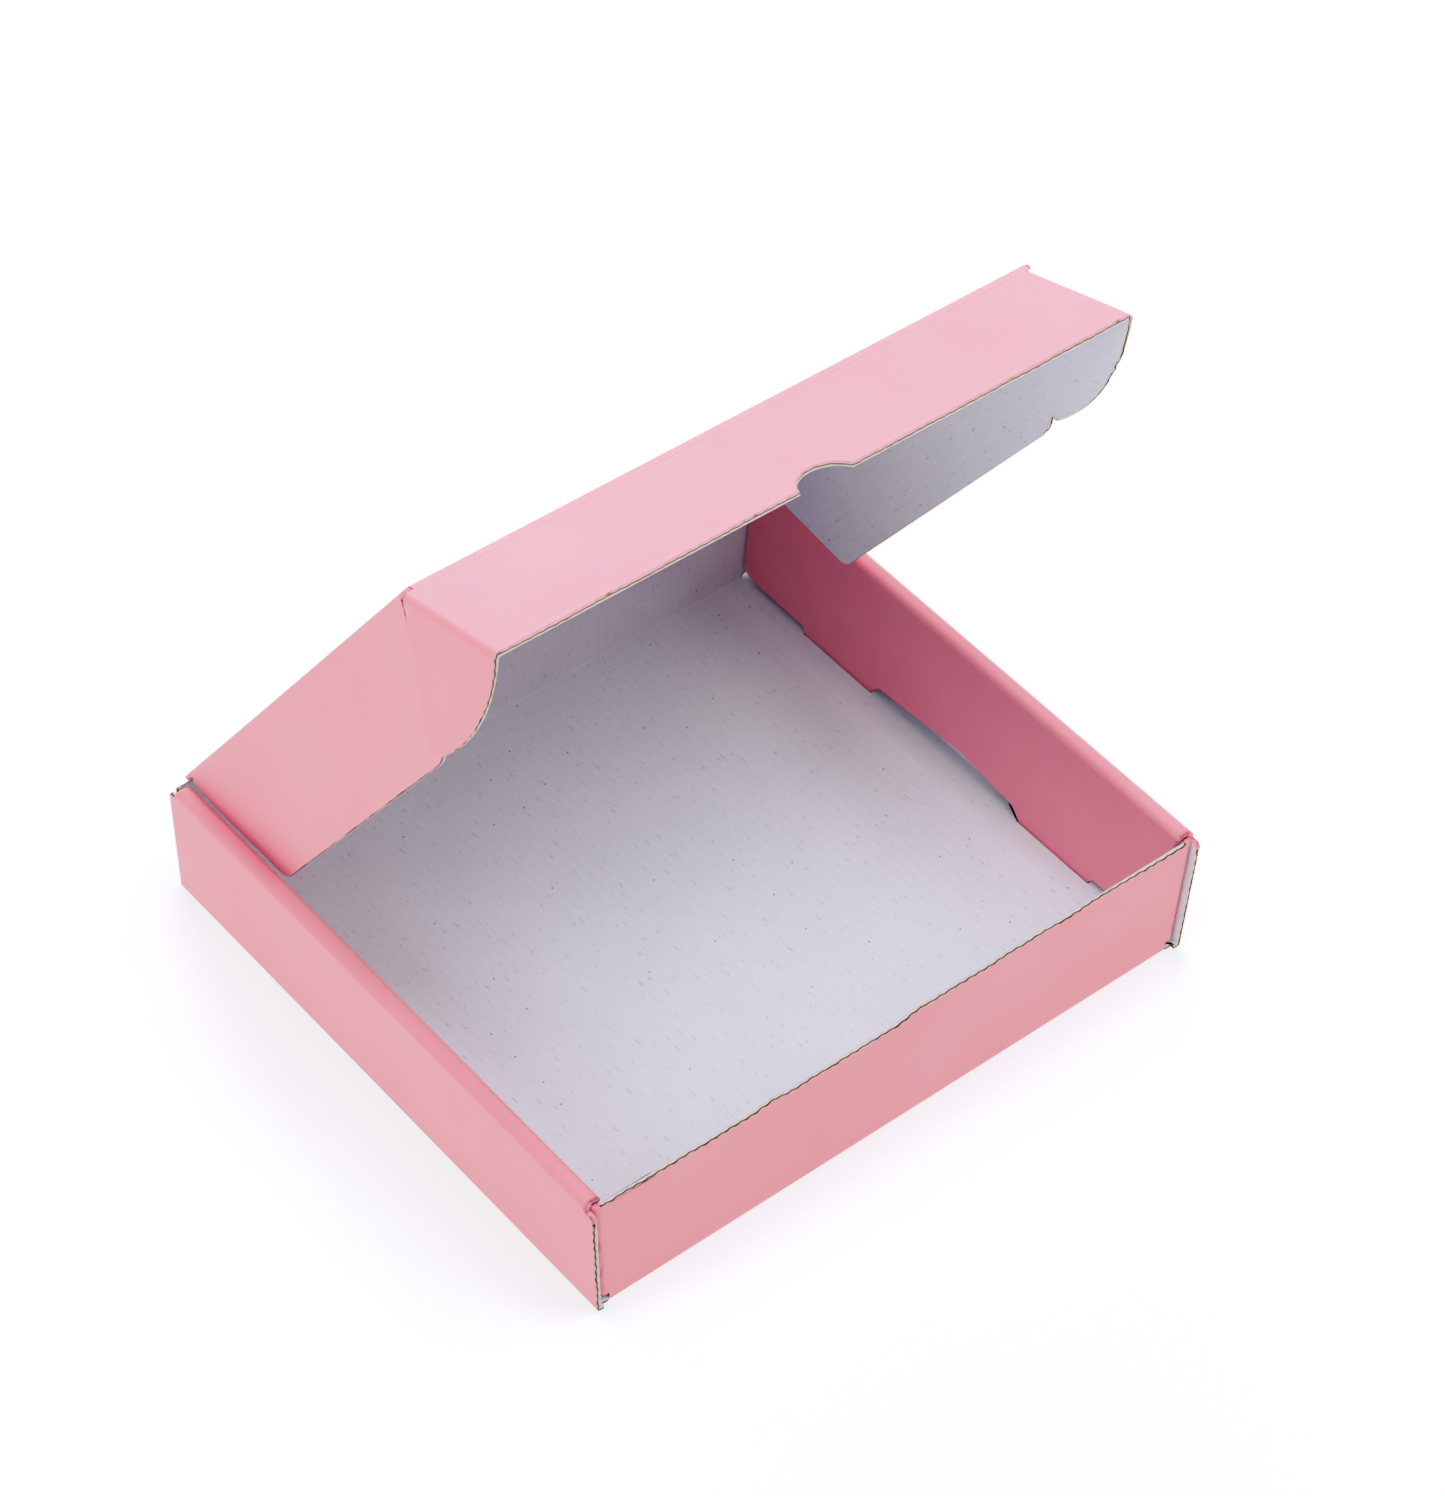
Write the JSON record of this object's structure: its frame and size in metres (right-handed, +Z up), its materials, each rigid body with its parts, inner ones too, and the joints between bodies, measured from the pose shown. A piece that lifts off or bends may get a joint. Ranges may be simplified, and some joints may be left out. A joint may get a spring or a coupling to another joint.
{
  "type": "mailer box",
  "caption": "Shallow folding mailer box with rolled side walls, a hinged lid with side wings, and a tuck-in front flap with ears and a thumb notch.",
  "frame": {"origin": "centre of the base's underside, on the surface that the box stands on", "axes": "+X to the box's right seen from the front, +Y from the front wall to the hinged back wall, +Z up"},
  "size_m": [0.2046, 0.1824, 0.1996],
  "materials": {
    "board": "matte pink outer liner, off-white inner liner, brown fluted core at the raw edges"
  },
  "bodies": {
    "tray": {"tray": "board"},
    "lid": {"lid": "board"},
    "front_flap": {"front_flap": "board"}
  },
  "joints": [
    {"name": "lid_hinge", "type": "hinge", "parent": "tray", "child": "lid", "pos_m": [0, 0.08925, 0.04125], "axis": [-1, 0, 0], "range_deg": [-42, 124]},
    {"name": "front_flap_fold", "type": "hinge", "parent": "lid", "child": "front_flap", "pos_m": [0, -0.00973, 0.18799], "axis": [1, 0, 0], "range_deg": [-40, 50]}
  ]
}
